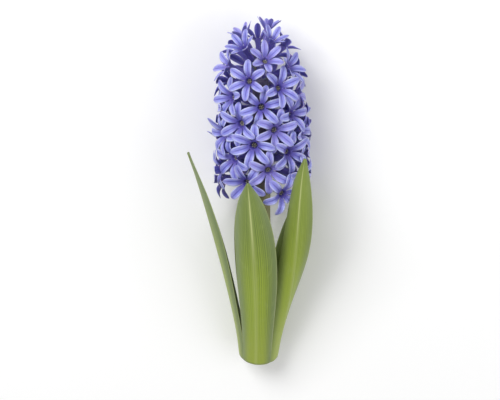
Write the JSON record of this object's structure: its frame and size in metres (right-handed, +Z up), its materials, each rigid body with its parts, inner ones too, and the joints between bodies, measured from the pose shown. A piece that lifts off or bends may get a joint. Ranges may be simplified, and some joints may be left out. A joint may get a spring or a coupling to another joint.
{
  "type": "hyacinth flower",
  "caption": "Picked hyacinth lying on its side: a dense spike of blue-violet florets on one fleshy stem, with the strap leaves that clasp its foot.",
  "frame": {"origin": "on the surface that the flower lies on, under the middle of its box", "axes": "+Y from the cut end to the tip of the flower head, +Z up, +X to the right"},
  "size_m": [0.078, 0.2308, 0.0718],
  "materials": {
    "petal": "blue-violet petal, satin, paler at the lobe edges and darker along their middles",
    "leaf": "fleshy green leaf with a waxy sheen, yellower at the foot, fine veins along it",
    "stem": "fleshy yellow-green stem, smooth and slightly waxy"
  },
  "bodies": {
    "root": {"flower_stem": "stem", "leaf_front": "leaf", "leaf_right": "leaf", "leaf_left": "leaf", "leaf_under_right": "leaf", "leaf_under_left": "leaf", "floret_01": "petal", "floret_02": "petal", "floret_03": "petal", "floret_04": "petal", "floret_05": "petal", "floret_06": "petal", "floret_07": "petal", "floret_08": "petal", "floret_09": "petal", "floret_10": "petal", "floret_11": "petal", "floret_12": "petal", "floret_13": "petal", "floret_14": "petal", "floret_15": "petal", "floret_16": "petal", "floret_17": "petal", "floret_18": "petal", "floret_19": "petal", "floret_20": "petal", "floret_21": "petal", "floret_22": "petal", "floret_23": "petal", "floret_24": "petal", "floret_25": "petal", "floret_26": "petal", "floret_27": "petal", "floret_28": "petal", "floret_29": "petal", "floret_30": "petal", "floret_31": "petal", "floret_32": "petal", "floret_33": "petal", "floret_34": "petal", "floret_35": "petal", "floret_36": "petal", "floret_37": "petal", "floret_38": "petal", "floret_39": "petal", "floret_40": "petal", "floret_41": "petal", "floret_42": "petal", "floret_43": "petal", "floret_44": "petal", "floret_45": "petal", "floret_46": "petal", "floret_47": "petal", "floret_48": "petal", "floret_49": "petal", "floret_50": "petal"}
  },
  "joints": []
}
